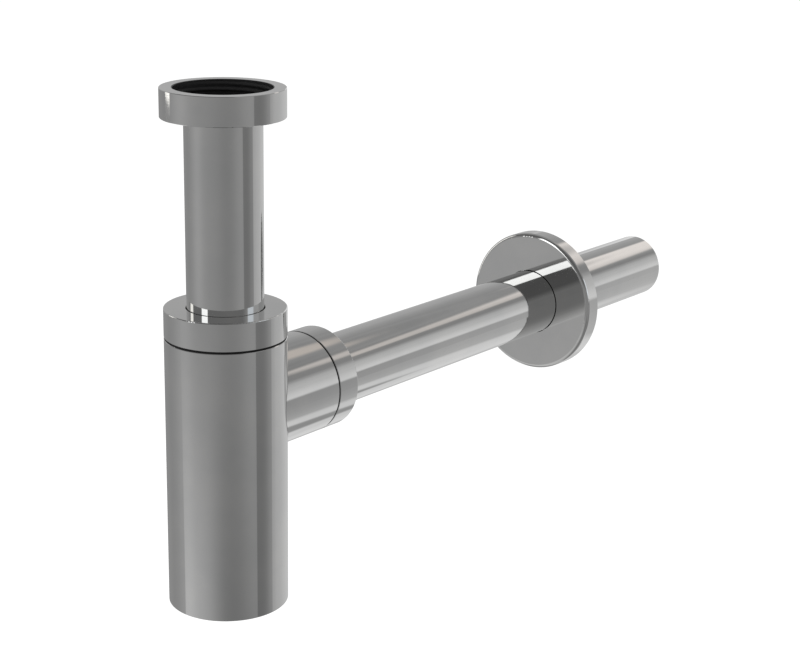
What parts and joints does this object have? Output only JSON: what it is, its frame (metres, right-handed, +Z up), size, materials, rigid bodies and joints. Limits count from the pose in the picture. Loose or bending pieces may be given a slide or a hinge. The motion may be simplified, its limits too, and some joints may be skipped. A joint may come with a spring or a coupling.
{
  "type": "bottle trap for a wash basin",
  "caption": "Round chrome bottle trap for a wash basin: coupling nut, sliding inlet tube, bottle, side branch and a straight wall pipe with a cover plate.",
  "frame": {"origin": "centre of the washer's top face in the coupling nut, on which the basin waste's tail seats", "axes": "+Z up into the basin along the inlet tube, +Y along the wall pipe into the wall, +X to the side"},
  "size_m": [0.07, 0.347, 0.2203],
  "materials": {
    "chrome": "polished",
    "black_rubber": "matt",
    "white_plastic": "satin",
    "bare_brass": "turned"
  },
  "bodies": {
    "nut": {"inlet_nut": "chrome", "inlet_washer": "black_rubber", "nut_slip_ring": "white_plastic"},
    "tube": {"inlet_tube": "chrome"},
    "neck_grip": {"inlet_seal": "black_rubber", "inlet_slip_ring": "white_plastic"},
    "bottle": {"bottle_body": "chrome", "bottle_base": "chrome", "neck_ring": "bare_brass", "outlet_socket": "chrome"},
    "neck_gasket": {"inlet_gasket": "black_rubber"},
    "neck_collar": {"inlet_collar": "chrome"},
    "branch_gasket": {"outlet_gasket": "black_rubber"},
    "branch_collar": {"outlet_collar": "chrome"},
    "branch_grip": {"outlet_seal": "black_rubber", "outlet_slip_ring": "white_plastic"},
    "pipe": {"wall_pipe": "chrome"},
    "plate_grip": {"rosette_ring": "black_rubber"},
    "plate": {"rosette": "chrome"}
  },
  "joints": [
    {"name": "nut_turn", "type": "hinge", "parent": "nut", "child": "tube", "pos_m": [0, 0, 0], "axis": [0, 0, 1], "continuous": true},
    {"name": "bottle_height", "type": "slide", "parent": "tube", "child": "neck_grip", "axis": [0, 0, 1], "range_m": [-0.07, 0.015]},
    {"name": "bottle_swivel", "type": "hinge", "parent": "neck_grip", "child": "bottle", "pos_m": [0, 0, 0], "axis": [0, 0, 1], "continuous": true},
    {"name": "neck_collar_rise", "type": "slide", "parent": "bottle", "child": "neck_gasket", "axis": [0, 0, 1], "range_m": [0, 0.006]},
    {"name": "neck_collar_turn", "type": "hinge", "parent": "neck_gasket", "child": "neck_collar", "pos_m": [0, 0, 0], "axis": [0, 0, 1], "range_deg": [0, 1440]},
    {"name": "branch_collar_rise", "type": "slide", "parent": "bottle", "child": "branch_gasket", "axis": [0, 1, 0], "range_m": [0, 0.006]},
    {"name": "branch_collar_turn", "type": "hinge", "parent": "branch_gasket", "child": "branch_collar", "pos_m": [0, 0, -0.1283], "axis": [0, 1, 0], "range_deg": [0, 1440]},
    {"name": "pipe_swivel", "type": "hinge", "parent": "bottle", "child": "branch_grip", "pos_m": [0, 0, -0.1283], "axis": [0, 1, 0], "continuous": true},
    {"name": "pipe_reach", "type": "slide", "parent": "branch_grip", "child": "pipe", "axis": [0, 1, 0], "range_m": [-0.004, 0.012]},
    {"name": "plate_slide", "type": "slide", "parent": "pipe", "child": "plate_grip", "axis": [0, 1, 0], "range_m": [-0.148, 0.085]},
    {"name": "plate_turn", "type": "hinge", "parent": "plate_grip", "child": "plate", "pos_m": [0, 0, -0.1283], "axis": [0, 1, 0], "continuous": true}
  ],
  "couplings": [
    {"joint": "neck_collar_rise", "follows": "neck_collar_turn", "m_per_rad": 0.0002387},
    {"joint": "branch_collar_rise", "follows": "branch_collar_turn", "m_per_rad": 0.0002387}
  ]
}
